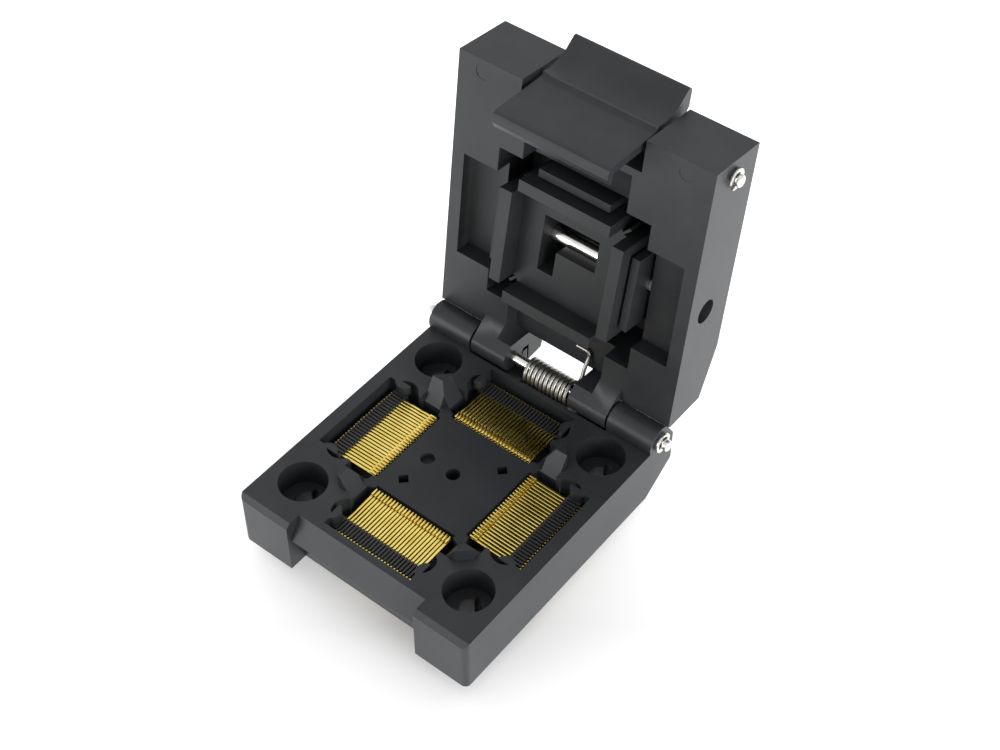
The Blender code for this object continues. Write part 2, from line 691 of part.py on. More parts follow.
def coil(centre, start, end, radius, wire, turns):
    """A compression spring along a line in the Y-Z plane, from start to end about a centre."""
    along = Vector((0.0, end[0] - start[0], end[1] - start[1]))
    length = along.length
    along.normalize()
    first = Vector((1.0, 0.0, 0.0))
    second = along.cross(first)
    origin = Vector((centre, start[0], start[1])) + along * wire
    count = turns * 8
    points = []
    for i in range(count + 1):
        angle = 2.0 * math.pi * i / 8
        offset = first * math.cos(angle) + second * math.sin(angle)
        points.append(origin + offset * radius + along * (length - 2 * wire) * i / count)
    made = bmesh.new()
    tube(made, points, wire, 5)
    return made


# Springs that tip the pad out at its hinge side
back_of_pad = (-PAD_AT + PUSH_AT, -PAD_BACK)
for side, x in (("left", -PUSH_AT), ("right", PUSH_AT)):
    bm = coil(x, (-PAD_AT + PUSH_AT, -CAVITY_FLOOR - 0.1), back_of_pad, 1.0, 0.18, 4)
    add_object("pad_spring_" + side, bm, lid_pivot, steel)

# Latch lever: finger tab, boss on the shaft and hooked arm
lever = [(4.3, -5.8), (4.65, -5.68), (4.88, -5.4), (4.82, -5.05), (4.35, -4.55), (3.5, -3.65),
         (2.85, -2.6), (2.45, -1.4), (2.3, -0.2), (2.35, 0.75), (1.95, 0.85), (1.8, 1.4),
         (1.2, 9.8), (0.95, 10.3), (0.55, 10.5), (-0.25, 10.45), (-1.2, 9.85), (-1.2, 9.4),
         (0.15, 9.4), (0.5, 2.6)]
lever += [(p[0], p[1]) for p in arc((0.0, 0.0), LATCH_BOSS, 100.0, 262.0, 10)]
lever += [(0.7, -2.2), (0.7, -4.75), (2.2, -5.75)]
bm = bmesh.new()
prism(bm, [(-a, -b) for a, b in lever], "X", -LATCH_HALF, LATCH_HALF)
latch = add_object("latch_lever", bm, latch_pivot, black)
bm = bmesh.new()
prism(bm, circle((0.0, 0.0), LATCH_SHAFT + RUNNING), "X", -LATCH_HALF - 2.0, LATCH_HALF + 2.0)
cut(latch, bm, "shaft_bore")

bm = bmesh.new()
ring_x = (LID_HALF + 0.2, LID_HALF + 0.62)
shaft_end = LID_HALF + 1.25
steps = [(-shaft_end, LATCH_SHAFT - 0.15), (-shaft_end + 0.15, LATCH_SHAFT), (-ring_x[1], LATCH_SHAFT),
         (-ring_x[1], 0.6), (-ring_x[0], 0.6), (-ring_x[0], LATCH_SHAFT)]
steps += [(-x, radius) for x, radius in reversed(steps)]
turned(bm, steps, (-LATCH_OUT, -LATCH_IN))
add_object("latch_shaft", bm, lid_pivot, steel)
for side, sign in (("left", -1), ("right", 1)):
    bm = bmesh.new()
    x = sorted((sign * (ring_x[0] + 0.02), sign * (ring_x[1] - 0.02)))
    prism(bm, ring_points((-LATCH_OUT, -LATCH_IN), 0.63), "X", x[0], x[1])
    add_object("latch_ring_" + side, bm, lid_pivot, ring_steel)

# Springs that push the finger tab out and the hook home
spring_in = -LATCH_IN + 3.35
latch_push = LATCH_HALF - 3.4
for side, x in (("left", -latch_push), ("right", latch_push)):
    bm = coil(x, (-LATCH_WALL - 0.1, spring_in), (-LATCH_OUT - 0.6, spring_in), 1.0, 0.18, 4)
    add_object("latch_spring_" + side, bm, lid_pivot, steel)
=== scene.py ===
import math
import bmesh
import bpy
from mathutils import Matrix, Vector


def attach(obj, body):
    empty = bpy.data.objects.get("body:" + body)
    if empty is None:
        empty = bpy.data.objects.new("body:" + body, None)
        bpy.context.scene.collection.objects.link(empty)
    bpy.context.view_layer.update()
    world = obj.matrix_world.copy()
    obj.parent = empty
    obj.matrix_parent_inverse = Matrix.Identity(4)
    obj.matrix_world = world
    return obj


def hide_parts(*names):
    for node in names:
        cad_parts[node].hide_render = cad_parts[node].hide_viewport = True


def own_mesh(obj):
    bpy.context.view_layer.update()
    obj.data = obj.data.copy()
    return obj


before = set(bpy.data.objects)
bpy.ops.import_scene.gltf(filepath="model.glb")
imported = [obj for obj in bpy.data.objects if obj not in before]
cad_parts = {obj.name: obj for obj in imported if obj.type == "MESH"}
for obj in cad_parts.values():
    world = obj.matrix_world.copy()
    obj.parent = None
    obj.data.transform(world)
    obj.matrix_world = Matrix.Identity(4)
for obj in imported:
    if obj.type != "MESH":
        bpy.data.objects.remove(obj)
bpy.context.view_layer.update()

bpy.ops.object.select_all(action="DESELECT")
mm = 0.001


# Materials
def newMaterial(name, colour, roughness, metallic):
    mat = bpy.data.materials.new(name)
    mat.use_nodes = True
    shader = mat.node_tree.nodes["Principled BSDF"]
    shader.inputs["Base Color"].default_value = (*colour, 1)
    shader.inputs["Roughness"].default_value = roughness
    shader.inputs["Metallic"].default_value = metallic
    return mat, shader


def addNode(mat, kind, **sockets):
    node = mat.node_tree.nodes.new(kind)
    for key, value in sockets.items():
        node.inputs[key.replace("_", " ")].default_value = value
    return node


# Noise on the object's own coordinates, drawn out along an axis where stretch is given
def noiseAt(mat, coords, scale, detail, stretch=None):
    noise = addNode(mat, "ShaderNodeTexNoise", Scale=scale, Detail=detail)
    if stretch:
        mapping = addNode(mat, "ShaderNodeMapping", Scale=stretch)
        mat.node_tree.links.new(coords.outputs["Object"], mapping.inputs["Vector"])
        mat.node_tree.links.new(mapping.outputs["Vector"], noise.inputs["Vector"])
    else:
        mat.node_tree.links.new(coords.outputs["Object"], noise.inputs["Vector"])
    return noise


# Two tones of one finish, mixed by the noise, and the roughness that goes with them
def toneBetween(mat, shader, noise, look, edges):
    links = mat.node_tree.links
    ramp = addNode(mat, "ShaderNodeValToRGB")
    for element, place, tone in zip(ramp.color_ramp.elements, edges, (look["colour"], look["light"])):
        element.position = place
        element.color = (*tone, 1)
    links.new(noise.outputs["Fac"], ramp.inputs["Fac"])
    links.new(ramp.outputs["Color"], shader.inputs["Base Color"])


def roughBetween(mat, shader, noise, look):
    links = mat.node_tree.links
    spread = addNode(mat, "ShaderNodeMapRange")
    spread.inputs["To Min"].default_value = look["rough"][0]
    spread.inputs["To Max"].default_value = look["rough"][1]
    links.new(noise.outputs["Fac"], spread.inputs["Value"])
    links.new(spread.outputs["Result"], shader.inputs["Roughness"])


plasticLook = {
    "mouldedBlack": {"colour": (0.0135, 0.0150, 0.0170), "light": (0.0190, 0.0210, 0.0235),
                     "rough": (0.36, 0.50), "grain": 5200, "depth": 0.10, "specular": 0.34},
    "platformBlack": {"colour": (0.0105, 0.0125, 0.0150), "light": (0.0150, 0.0175, 0.0205),
                      "rough": (0.38, 0.52), "grain": 5200, "depth": 0.10, "specular": 0.33},
    "padBlack": {"colour": (0.0120, 0.0135, 0.0145), "light": (0.0175, 0.0190, 0.0205),
                 "rough": (0.40, 0.54), "grain": 5200, "depth": 0.12, "specular": 0.33},
    "combBlack": {"colour": (0.0100, 0.0100, 0.0105), "light": (0.0160, 0.0155, 0.0150),
                  "rough": (0.40, 0.55), "grain": 6500, "depth": 0.08, "specular": 0.5},
}
mould = {"cloud": 160, "tones": (0.35, 0.68), "bump": 0.02}


def plastic(name):
    look = plasticLook[name]
    mat, shader = newMaterial(name, look["colour"], 0.45, 0)
    shader.inputs["Specular IOR Level"].default_value = look["specular"]
    links = mat.node_tree.links
    coords = addNode(mat, "ShaderNodeTexCoord")
    cloud = noiseAt(mat, coords, mould["cloud"], 3)  # faint flow marks from moulding
    toneBetween(mat, shader, cloud, look, mould["tones"])
    grain = noiseAt(mat, coords, look["grain"], 2)  # fine texture of the mould
    roughBetween(mat, shader, grain, look)
    bump = addNode(mat, "ShaderNodeBump", Strength=look["depth"], Distance=mould["bump"] * mm)
    links.new(grain.outputs["Fac"], bump.inputs["Height"])
    links.new(bump.outputs["Normal"], shader.inputs["Normal"])
    return mat


metalLook = {
    "goldPlate": {"colour": (0.74, 0.56, 0.11), "light": (0.90, 0.71, 0.20), "rough": (0.18, 0.28),
                  "stretch": (1, 1, 1), "scale": 500},
    "brightSteel": {"colour": (0.66, 0.65, 0.62), "light": (0.80, 0.79, 0.76), "rough": (0.16, 0.26),
                    "stretch": (0.15, 1, 1), "scale": 2500},
    "springSteel": {"colour": (0.26, 0.25, 0.23), "light": (0.36, 0.35, 0.32), "rough": (0.30, 0.40),
                    "stretch": (1, 1, 1), "scale": 1500},
    "ringSteel": {"colour": (0.52, 0.51, 0.49), "light": (0.70, 0.69, 0.66), "rough": (0.18, 0.30),
                  "stretch": (1, 1, 1), "scale": 1800},
}


def metal(name):
    look = metalLook[name]
    mat, shader = newMaterial(name, look["colour"], 0.25, 1)
    coords = addNode(mat, "ShaderNodeTexCoord")
    drawn = noiseAt(mat, coords, look["scale"], 2, look["stretch"])
    toneBetween(mat, shader, drawn, look, (0.3, 0.7))
    roughBetween(mat, shader, drawn, look)
    return mat


mouldedBlack = plastic("mouldedBlack")
platformBlack = plastic("platformBlack")
padBlack = plastic("padBlack")
combBlack = plastic("combBlack")
goldPlate = metal("goldPlate")
brightSteel = metal("brightSteel")
springSteel = metal("springSteel")
ringSteel = metal("ringSteel")
print("finishes made")


# Working helpers
def pick(obj):
    bpy.ops.object.select_all(action="DESELECT")
    obj.select_set(True)
    bpy.context.view_layer.objects.active = obj


def applyModifiers(obj):
    pick(obj)
    for modifier in list(obj.modifiers):
        bpy.ops.object.modifier_apply(modifier=modifier.name)


def finishPiece(obj, name, body, mat, nodes=(), smooth=30):
    pick(obj)
    obj.name = name
    obj.data.name = name
    obj.data.materials.clear()
    obj.data.materials.append(mat)
    bpy.ops.object.shade_smooth_by_angle(angle=math.radians(smooth))
    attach(obj, body)
    if nodes:
        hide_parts(*nodes)
    bpy.ops.object.select_all(action="DESELECT")
    return obj


def addBox(low, high):
    centre = [(a + b) / 2 * mm for a, b in zip(low, high)]
    bpy.ops.object.select_all(action="DESELECT")
    bpy.ops.mesh.primitive_cube_add(size=1, location=centre)
    box = bpy.context.object
    box.scale = [(b - a) * mm for a, b in zip(low, high)]
    bpy.ops.object.transform_apply(location=True, rotation=True, scale=True)
    return box


def joined(objs):
    bpy.ops.object.select_all(action="DESELECT")
    for obj in objs:
        obj.select_set(True)
    bpy.context.view_layer.objects.active = objs[0]
    if len(objs) > 1:
        bpy.ops.object.join()
    return bpy.context.view_layer.objects.active


def copied(obj, matrix):
    twin = bpy.data.objects.new(obj.name + "Copy", obj.data.copy())
    bpy.context.scene.collection.objects.link(twin)
    twin.data.transform(matrix)
    return twin


def cutAway(obj, tool):
    boolean = obj.modifiers.new("cut", "BOOLEAN")
    boolean.operation = "DIFFERENCE"
    boolean.solver = "EXACT"
    boolean.object = tool
    applyModifiers(obj)
    bpy.data.objects.remove(tool, do_unlink=True)


def insideBox(obj, edge, box):
    places = [obj.matrix_world @ v.co / mm for v in edge.verts]
    return all(low <= p[i] <= high for p in places for i, (low, high) in enumerate(zip(*box)))


# A copy of a solid of the frame, merged and with its outer edges rounded. Edges in sharpBox stay
# sharp, shape is run on the merged mesh before the rounding, and tools are cut away after it.
def softenedCopy(node, name, body, mat, width, segments=2, angle=28, tools=(), sharpBox=None, shape=None):
    obj = bpy.data.objects.new(name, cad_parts[node].data.copy())
    bpy.context.scene.collection.objects.link(obj)
    pick(obj)
    bpy.ops.object.mode_set(mode="EDIT")
    bpy.ops.mesh.select_all(action="SELECT")
    bpy.ops.mesh.remove_doubles(threshold=0.000002)
    bpy.ops.mesh.dissolve_limited(angle_limit=math.radians(0.6))
    if shape:
        shape(obj)
    if width:
        bpy.ops.mesh.select_mode(type="EDGE")
        bm = bmesh.from_edit_mesh(obj.data)
        for edge in bm.edges:
            outer = edge.is_manifold and edge.calc_face_angle_signed(0) > math.radians(angle)
            edge.select_set(False)
            edge.tag = outer and not (sharpBox and insideBox(obj, edge, sharpBox))
        for edge in bm.edges:
            if edge.tag:
                edge.select_set(True)
        bmesh.update_edit_mesh(obj.data)
        bpy.ops.mesh.bevel(offset=width * mm, segments=segments, affect="EDGES", clamp_overlap=True)
    bpy.ops.object.mode_set(mode="OBJECT")
    for tool in tools:
        cutAway(obj, tool)
    finishPiece(obj, name, body, mat, [node], smooth=32)
    weighted = obj.modifiers.new("weighted", "WEIGHTED_NORMAL")
    weighted.keep_sharp = True
    weighted.weight = 100
    applyModifiers(obj)
    bpy.ops.object.select_all(action="DESELECT")
    return obj


# Places on the lid, given as (x, out from the hinge, in towards the base), with the lid open
hinge = {"y": 19.3, "z": 9.55, "open": 97.0}
openAngle = math.radians(hinge["open"])


def onLid(x, out, inward):
    y = hinge["y"] - out * math.cos(openAngle) - inward * math.sin(openAngle)
    z = hinge["z"] + out * math.sin(openAngle) - inward * math.cos(openAngle)
    return Vector((x, y, z)) * mm


outAxis = Vector((0, -math.cos(openAngle), math.sin(openAngle)))
inAxis = Vector((0, -math.sin(openAngle), -math.cos(openAngle)))

# Moulded pieces, from their solids, with the edges of the mould
edgeWidths = {"base": 0.12, "platform": 0.08, "lid": 0.12, "pad": 0.08, "latch": 0.12, "plate": 0.04}
hingeWebs = ((-5.8, 15.0, 5.0), (5.4, 28.0, 13.0))  # low and high corner, round the two lid knuckles
pinMarks = {"x": 14.9, "out": 39.6, "face": -0.9, "radius": 1.05, "deep": 0.05}


def pinMark(x):
    bpy.ops.object.select_all(action="DESELECT")
    bpy.ops.mesh.primitive_cylinder_add(
        vertices=40, radius=pinMarks["radius"] * mm, depth=2 * pinMarks["deep"] * mm,
        location=onLid(x, pinMarks["out"], pinMarks["face"]),
        rotation=(math.radians(90) - (openAngle - math.radians(90)), 0, 0))
    tool = bpy.context.object
    bpy.ops.object.transform_apply(location=True, rotation=True, scale=True)
    return tool


# The lid comes down to the knuckles of the base, with little room left between them
reach = {"radius": 2.45, "newRadius": 2.24, "rim": -0.9, "newDepth": -1.38, "side": 11.0, "slack": 0.04}


def reachKnuckles(obj):
    bm = bmesh.from_edit_mesh(obj.data)
    hub = Vector((0, hinge["y"], hinge["z"]))
    arc = []
    for v in bm.verts:
        place = v.co / mm - hub
        up, deep = place.dot(outAxis), place.dot(inAxis)
        near = abs(math.hypot(up, deep) - reach["radius"]) < reach["slack"]
        if near and up > 0 and -2 < deep < reach["rim"] + reach["slack"] and abs(place.x) > reach["side"]:
            arc.append((v, up, deep))
    depth = min(deep for v, up, deep in arc)
    for v, up, deep in arc:
        share = (deep - reach["rim"]) / (depth - reach["rim"])
        newDeep = reach["rim"] + share * (reach["newDepth"] - reach["rim"])
        newUp = math.sqrt(reach["newRadius"] ** 2 - newDeep ** 2)
        v.co += ((newUp - up) * outAxis + (newDeep - deep) * inAxis) * mm
    print("lid reaches down at", len(arc), "points, depth", round(depth, 3))
    bmesh.update_edit_mesh(obj.data)


baseHousing = softenedCopy("base_housing", "baseHousing", "base", mouldedBlack, edgeWidths["base"])
chipPlatform = softenedCopy("chip_platform", "chipPlatform", "base", platformBlack, edgeWidths["platform"])
lidMarks = [pinMark(-pinMarks["x"]), pinMark(pinMarks["x"])]
lidCover = softenedCopy("lid_cover", "lidCover", "lid", mouldedBlack, edgeWidths["lid"], tools=lidMarks,
                        sharpBox=hingeWebs, shape=reachKnuckles)
pressurePad = softenedCopy("pressure_pad", "pressurePad", "pad", padBlack, edgeWidths["pad"])
latchLever = softenedCopy("latch_lever", "latchLever", "latch", mouldedBlack, edgeWidths["latch"], 3)
tailPlate = softenedCopy("tail_plate", "tailPlate", "base", combBlack, edgeWidths["plate"], 1)
print("moulded pieces made")

# Contact rows: the strips of one side, with the comb that holds them
row = {
    "count": 25, "pitch": 0.5, "wide": 0.18, "stripEdge": 0.03, "tipWider": 0.05, "tipEdge": 0.04,
    "path": [(7.8, 6.96), (8.3, 7.02), (9.3, 7.0), (13.5, 6.94)],
    "tip": (7.7, 8.76, 7.26, 7.4), "riser": (7.74, 7.94),
    "thick": 0.12,
    "comb": (13.35, 15.42), "combTop": 7.15, "combHalf": 6.85, "slotWide": 0.2, "slotDeep": 0.5,
    "heel": (15.43, 15.62, 6.98), "heelLow": 2.7, "heelHalf": 0.12, "combLow": 2.0, "overCut": 0.5,
    "tails": (9.6, 11.5, 13.4, 15.3), "tailEnd": -3.0, "tailTop": 2.3, "tailHalf": (0.11, 0.15),
    "foot": (9.0, 15.95, 2.05, 2.8), "cutTop": 8.0,
}


# One strip, as a plane drawn out along its path and given its thickness
def contactStrip():
    path = row["path"]
    half = row["wide"] / 2 * mm
    bpy.ops.object.select_all(action="DESELECT")
    bpy.ops.mesh.primitive_plane_add(size=1, location=(0, 0, 0))
    strip = bpy.context.object
    bpy.ops.object.mode_set(mode="EDIT")
    bpy.ops.mesh.select_mode(type="VERT")
    bm = bmesh.from_edit_mesh(strip.data)
    for v in bm.verts:
        first = path[0] if v.co.y > 0 else path[1]
        v.co = Vector((half if v.co.x > 0 else -half, -first[0] * mm, first[1] * mm))
    bmesh.update_edit_mesh(strip.data)
    for i in range(1, len(path) - 1):
        bm = bmesh.from_edit_mesh(strip.data)
        for edge in bm.edges:
            edge.select_set(False)
        for v in bm.verts:
            v.select_set(abs(v.co.y + path[i][0] * mm) < 1e-7)
        bm.select_flush(True)
        bmesh.update_edit_mesh(strip.data)
        step = (0, -(path[i + 1][0] - path[i][0]) * mm, (path[i + 1][1] - path[i][1]) * mm)
        bpy.ops.mesh.extrude_region_move(TRANSFORM_OT_translate={"value": step})
    bpy.ops.mesh.select_all(action="SELECT")
    bpy.ops.mesh.normals_make_consistent(inside=False)
    bpy.ops.object.mode_set(mode="OBJECT")
    up = sum(p.normal.z for p in strip.data.polygons) > 0
    solid = strip.modifiers.new("thick", "SOLIDIFY")
    solid.thickness = row["thick"] * mm
    solid.offset = -1 if up else 1
    bevel = strip.modifiers.new("edge", "BEVEL")
    bevel.width = row["stripEdge"] * mm
    bevel.segments = 2
    applyModifiers(strip)
    return strip


# The raised tip of a strip, which the leads of a chip rest on
def contactTip():
    nearEnd, farEnd, low, high = row["tip"]
    half = row["wide"] / 2
    tipHalf = half + row["tipWider"]
    tip = addBox((-tipHalf, -farEnd, low), (tipHalf, -nearEnd, high))
    edges = tip.modifiers.new("edge", "BEVEL")
    edges.width = row["tipEdge"] * mm
    edges.segments = 2
    applyModifiers(tip)
    nearSide, farSide = row["riser"]
    foot = row["path"][0][1] - 0.05
    riser = addBox((-half, -farSide, foot), (half, -nearSide, low + 0.04))
    return joined([tip, riser])


def makeRow(side, turn):
    rot = Matrix.Rotation(math.radians(90 * turn), 4, "Z")
    strip = joined([contactStrip(), contactTip()])
    heelIn, heelOut, heelTop = row["heel"]
    heelHalf = row["heelHalf"]
    heel = addBox((-heelHalf, -heelOut, row["heelLow"]), (heelHalf, -heelIn, heelTop))
    tailX, tailY = row["tailHalf"]
    tail = addBox((-tailX, -tailY, row["tailEnd"]), (tailX, tailY, row["tailTop"]))
    metalParts = []
    for i in range(row["count"]):
        t = (i - (row["count"] - 1) / 2) * row["pitch"] * mm
        tailAt = row["tails"][i % len(row["tails"])] * mm
        metalParts.append(copied(strip, Matrix.Translation((t, 0, 0))))
        metalParts.append(copied(heel, Matrix.Translation((t, 0, 0))))
        metalParts.append(copied(tail, Matrix.Translation((t, -tailAt, 0))))
    for pattern in (strip, heel, tail):
        bpy.data.objects.remove(pattern, do_unlink=True)
    gold = joined(metalParts)
    gold.data.transform(rot)
    finishPiece(gold, "contacts" + side, "base", goldPlate, ["contact_row_" + side.lower()])
    half = row["combHalf"]
    inner, outer = row["comb"]
    comb = addBox((-half, -outer, row["combLow"]), (half, -inner, row["combTop"]))
    nearFoot, farFoot, lowFoot, highFoot = row["foot"]
    foot = addBox((-half, -farFoot, lowFoot), (half, -nearFoot, highFoot))
    slots = []
    wide = row["slotWide"] / 2
    slotFloor = row["combTop"] - row["slotDeep"]
    front, back = -outer - row["overCut"], -inner + row["overCut"]
    for i in range(row["count"]):
        t = (i - (row["count"] - 1) / 2) * row["pitch"]
        slots.append(addBox((t - wide, front, slotFloor), (t + wide, back, row["cutTop"])))
    cutAway(comb, joined(slots))
    comb = joined([comb, foot])
    comb.data.transform(rot)
    finishPiece(comb, "comb" + side, "base", combBlack)
    print("contact row", side)


for turn, side in enumerate(("Front", "Right", "Back", "Left")):
    makeRow(side, turn)


# Coiled wire along Z from the origin: a round section turned and drawn out by its pitch
def coiledWire(turns, radius, wire, pitch, sides=12, steps=28):
    bpy.ops.object.select_all(action="DESELECT")
    bpy.ops.mesh.primitive_circle_add(vertices=sides, radius=wire * mm, fill_type="NOTHING",
                                      location=(radius * mm, 0, 0), rotation=(math.radians(90), 0, 0))
    wireCoil = bpy.context.object
    bpy.ops.object.transform_apply(location=True, rotation=True, scale=True)
    screw = wireCoil.modifiers.new("turns", "SCREW")
    screw.axis = "Z"
    screw.angle = math.radians(360)
    screw.screw_offset = pitch * mm
    screw.iterations = turns
    screw.steps = steps
    screw.render_steps = steps
    screw.use_merge_vertices = False
    applyModifiers(wireCoil)
    bpy.ops.object.mode_set(mode="EDIT")
    bpy.ops.mesh.select_all(action="SELECT")
    bpy.ops.mesh.fill_holes(sides=0)
    bpy.ops.mesh.normals_make_consistent(inside=False)
    bpy.ops.object.mode_set(mode="OBJECT")
    return wireCoil


# Wire bent along points: a round section drawn out from each point to the next
def bentWire(points, wire, sides=12):
    bpy.ops.object.select_all(action="DESELECT")
    start = (points[1] - points[0]).normalized()
    bpy.ops.mesh.primitive_circle_add(vertices=sides, radius=wire * mm, fill_type="NGON",
                                      location=points[0], rotation=start.to_track_quat("Z", "Y").to_euler())
    bent = bpy.context.object
    bpy.ops.object.transform_apply(location=True, rotation=True, scale=True)
    bpy.ops.object.mode_set(mode="EDIT")
    bpy.ops.mesh.select_mode(type="FACE")
    bpy.ops.mesh.select_all(action="SELECT")
    heading = start
    for i in range(1, len(points)):
        bpy.ops.mesh.extrude_region_move(TRANSFORM_OT_translate={"value": points[i] - points[i - 1]})
        ahead = (points[min(i + 1, len(points) - 1)] - points[i - 1]).normalized()
        turn = heading.rotation_difference(ahead)
        if turn.angle > 1e-4:
            bm = bmesh.from_edit_mesh(bent.data)
            there = Matrix.Translation(points[i])
            back = Matrix.Translation(-points[i])
            matrix = there @ turn.to_matrix().to_4x4() @ back
            for v in bm.verts:
                if v.select:
                    v.co = matrix @ v.co
            bmesh.update_edit_mesh(bent.data)
        heading = ahead
    bpy.ops.mesh.select_all(action="SELECT")
    bpy.ops.mesh.normals_make_consistent(inside=False)
    bpy.ops.object.mode_set(mode="OBJECT")
    return bent


torsion = {"radius": 1.62, "wire": 0.28, "turns": 10, "start": -2.6, "pitch": 0.65, "lie": -3.06,
           "foot": (-1.75, -1.5), "legOut": 4.75, "hang": (-0.2, -0.35), "lastTurn": (-90, 235, 26),
           "lastPitch": 0.95,
           "legPath": ((-0.05, 1.3, -1.85), (-0.08, 2.2, -2.05), (-0.1, 3.2, -2.5)),
           "bend": 0.6, "bendSteps": 7, "bendAngle": 15, "legEnd": -2.2}


# The last turn of the coil, from one angle to another, drawn along X by its pitch
def lastTurn(x, y, z, start, end, count):
    points = []
    for i in range(count + 1):
        angle = math.radians(start + (end - start) * i / count)
        drift = torsion["pitch"] * torsion["lastPitch"] * i / count
        points.append(Vector((x + drift, y + torsion["radius"] * math.cos(angle),
                              z + torsion["radius"] * math.sin(angle))) * mm)
    return points


def makeHingeSpring():
    coilY = hinge["y"] + torsion["hang"][0]
    coilZ = hinge["z"] + torsion["hang"][1]
    coil = coiledWire(torsion["turns"], torsion["radius"], torsion["wire"], torsion["pitch"])
    centre = Vector((torsion["start"], coilY, coilZ)) * mm
    alongX = Matrix(((0, 0, 1, 0), (0, 1, 0, 0), (-1, 0, 0, 0), (0, 0, 0, 1)))
    coil.data.transform(Matrix.Translation(centre) @ alongX)
    footStart = Vector((torsion["start"], coilY, coilZ - torsion["radius"])) * mm
    footY = hinge["y"] + torsion["foot"][0]
    footEnd = Vector((torsion["start"], footY, hinge["z"] + torsion["foot"][1])) * mm
    foot = bentWire([footStart, (footStart + footEnd) / 2, footEnd], torsion["wire"])
    finishPiece(joined([coil, foot]), "hingeCoil", "base", springSteel, ["hinge_spring"], smooth=60)
    end = torsion["start"] + torsion["turns"] * torsion["pitch"]
    lie, out = torsion["lie"], torsion["legOut"]
    points = lastTurn(end, coilY, coilZ, *torsion["lastTurn"])
    last = end + torsion["pitch"] * torsion["lastPitch"]
    points += [onLid(last + x, up, deep) for x, up, deep in torsion["legPath"]]
    bend = torsion["bend"]
    points.append(onLid(last - 0.12, out - bend - 0.15, lie))
    for i in range(torsion["bendSteps"]):
        angle = math.radians(torsion["bendAngle"] * i)
        x = last - 0.12 - bend + bend * math.cos(angle)
        points.append(onLid(x, out - bend + bend * math.sin(angle), lie))
    points.append(onLid(last + torsion["legEnd"], out, lie))
    leg = bentWire(points, torsion["wire"])
    finishPiece(leg, "hingeLeg", "lid", springSteel, ["hinge_spring"], smooth=60)


makeHingeSpring()

# Compression springs: two that tip the pad, two that swing the latch home
pushSprings = {
    "pad": {"joint": "pad_rock", "x": 6.1, "from": (12.85, -8.5), "along": "in", "long": 2.65, "keep": 0.6,
            "nodes": ("pad_spring_left", "pad_spring_right")},
    "latch": {"joint": "latch_swing", "x": 5.0, "from": (36.9, -8.3), "along": "out", "long": 1.4,
              "keep": 0.45, "nodes": ("latch_spring_left", "latch_spring_right")},
}
pushWire = {"radius": 1.0, "wire": 0.18, "turns": 4}


def makePushSpring(kind, sign, node):
    spec = pushSprings[kind]
    axis = inAxis if spec["along"] == "in" else outAxis
    pitch = (spec["long"] - 2 * pushWire["wire"]) / pushWire["turns"]
    coil = coiledWire(pushWire["turns"], pushWire["radius"], pushWire["wire"], pitch, 10, 20)
    start = onLid(sign * spec["x"], *spec["from"]) + axis * pushWire["wire"] * mm
    turn = axis.to_track_quat("Z", "X").to_matrix().to_4x4()
    coil.data.transform(Matrix.Translation(start) @ turn)
    side = "Left" if sign < 0 else "Right"
    piece = finishPiece(coil, kind + "Spring" + side, "lid", springSteel, [node], smooth=60)
    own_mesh(piece)


for kind, spec in pushSprings.items():
    for sign, node in zip((-1, 1), spec["nodes"]):
        makePushSpring(kind, sign, node)
print("springs made")

# Turned pins and shafts
pinEdges = {"pin": 0.06, "screw": 0.05}
softenedCopy("hinge_shaft", "hingeShaft", "base", brightSteel, pinEdges["pin"])
softenedCopy("latch_shaft", "latchShaft", "lid", brightSteel, pinEdges["pin"])
softenedCopy("pad_pin_left", "padPinLeft", "lid", brightSteel, pinEdges["pin"])
softenedCopy("pad_pin_right", "padPinRight", "lid", brightSteel, pinEdges["pin"])
for number in range(1, 5):
    screwName = "plateScrew%d" % number
    softenedCopy("plate_screw_%d" % number, screwName, "base", brightSteel, pinEdges["screw"])

# Retaining rings: a flat ring with three teeth on the groove, open on one side
eRing = {"outer": 1.42, "inner": 0.98, "tooth": 0.63, "thick": 0.34, "hinge": 18.71, "latch": 19.09,
         "latchOut": 38.9, "latchIn": -4.95, "toothHalf": 0.3, "gapHalf": 0.62, "edge": 0.05,
         "hingeTurn": 30, "latchTurn": -60}


def makeRing(name, node, body, centre, toward):
    bpy.ops.object.select_all(action="DESELECT")
    bpy.ops.mesh.primitive_cylinder_add(vertices=48, radius=eRing["outer"] * mm, depth=eRing["thick"] * mm)
    ring = bpy.context.object
    bpy.ops.mesh.primitive_cylinder_add(vertices=48, radius=eRing["inner"] * mm, depth=1 * mm)
    cutAway(ring, bpy.context.object)
    teeth = []
    halfThick = eRing["thick"] / 2
    toothEnd = eRing["inner"] + 0.1
    toothHalf = eRing["toothHalf"]
    for angle in (60, 180, 300):
        tooth = addBox((eRing["tooth"], -toothHalf, -halfThick), (toothEnd, toothHalf, halfThick))
        tooth.data.transform(Matrix.Rotation(math.radians(angle), 4, "Z"))
        teeth.append(tooth)
    gapHalf = eRing["gapHalf"]
    cutAway(ring, addBox((0, -gapHalf, -1), (3, gapHalf, 1)))
    flat = joined([ring] + teeth)
    bevel = flat.modifiers.new("edge", "BEVEL")
    bevel.width = eRing["edge"] * mm
    bevel.segments = 2
    bevel.limit_method = "ANGLE"
    bevel.angle_limit = math.radians(40)
    applyModifiers(flat)
    turn = Matrix.Rotation(math.radians(90), 4, "Y") @ Matrix.Rotation(math.radians(toward), 4, "Z")
    flat.data.transform(Matrix.Translation(centre) @ turn)
    finishPiece(flat, name, body, ringSteel, [node])


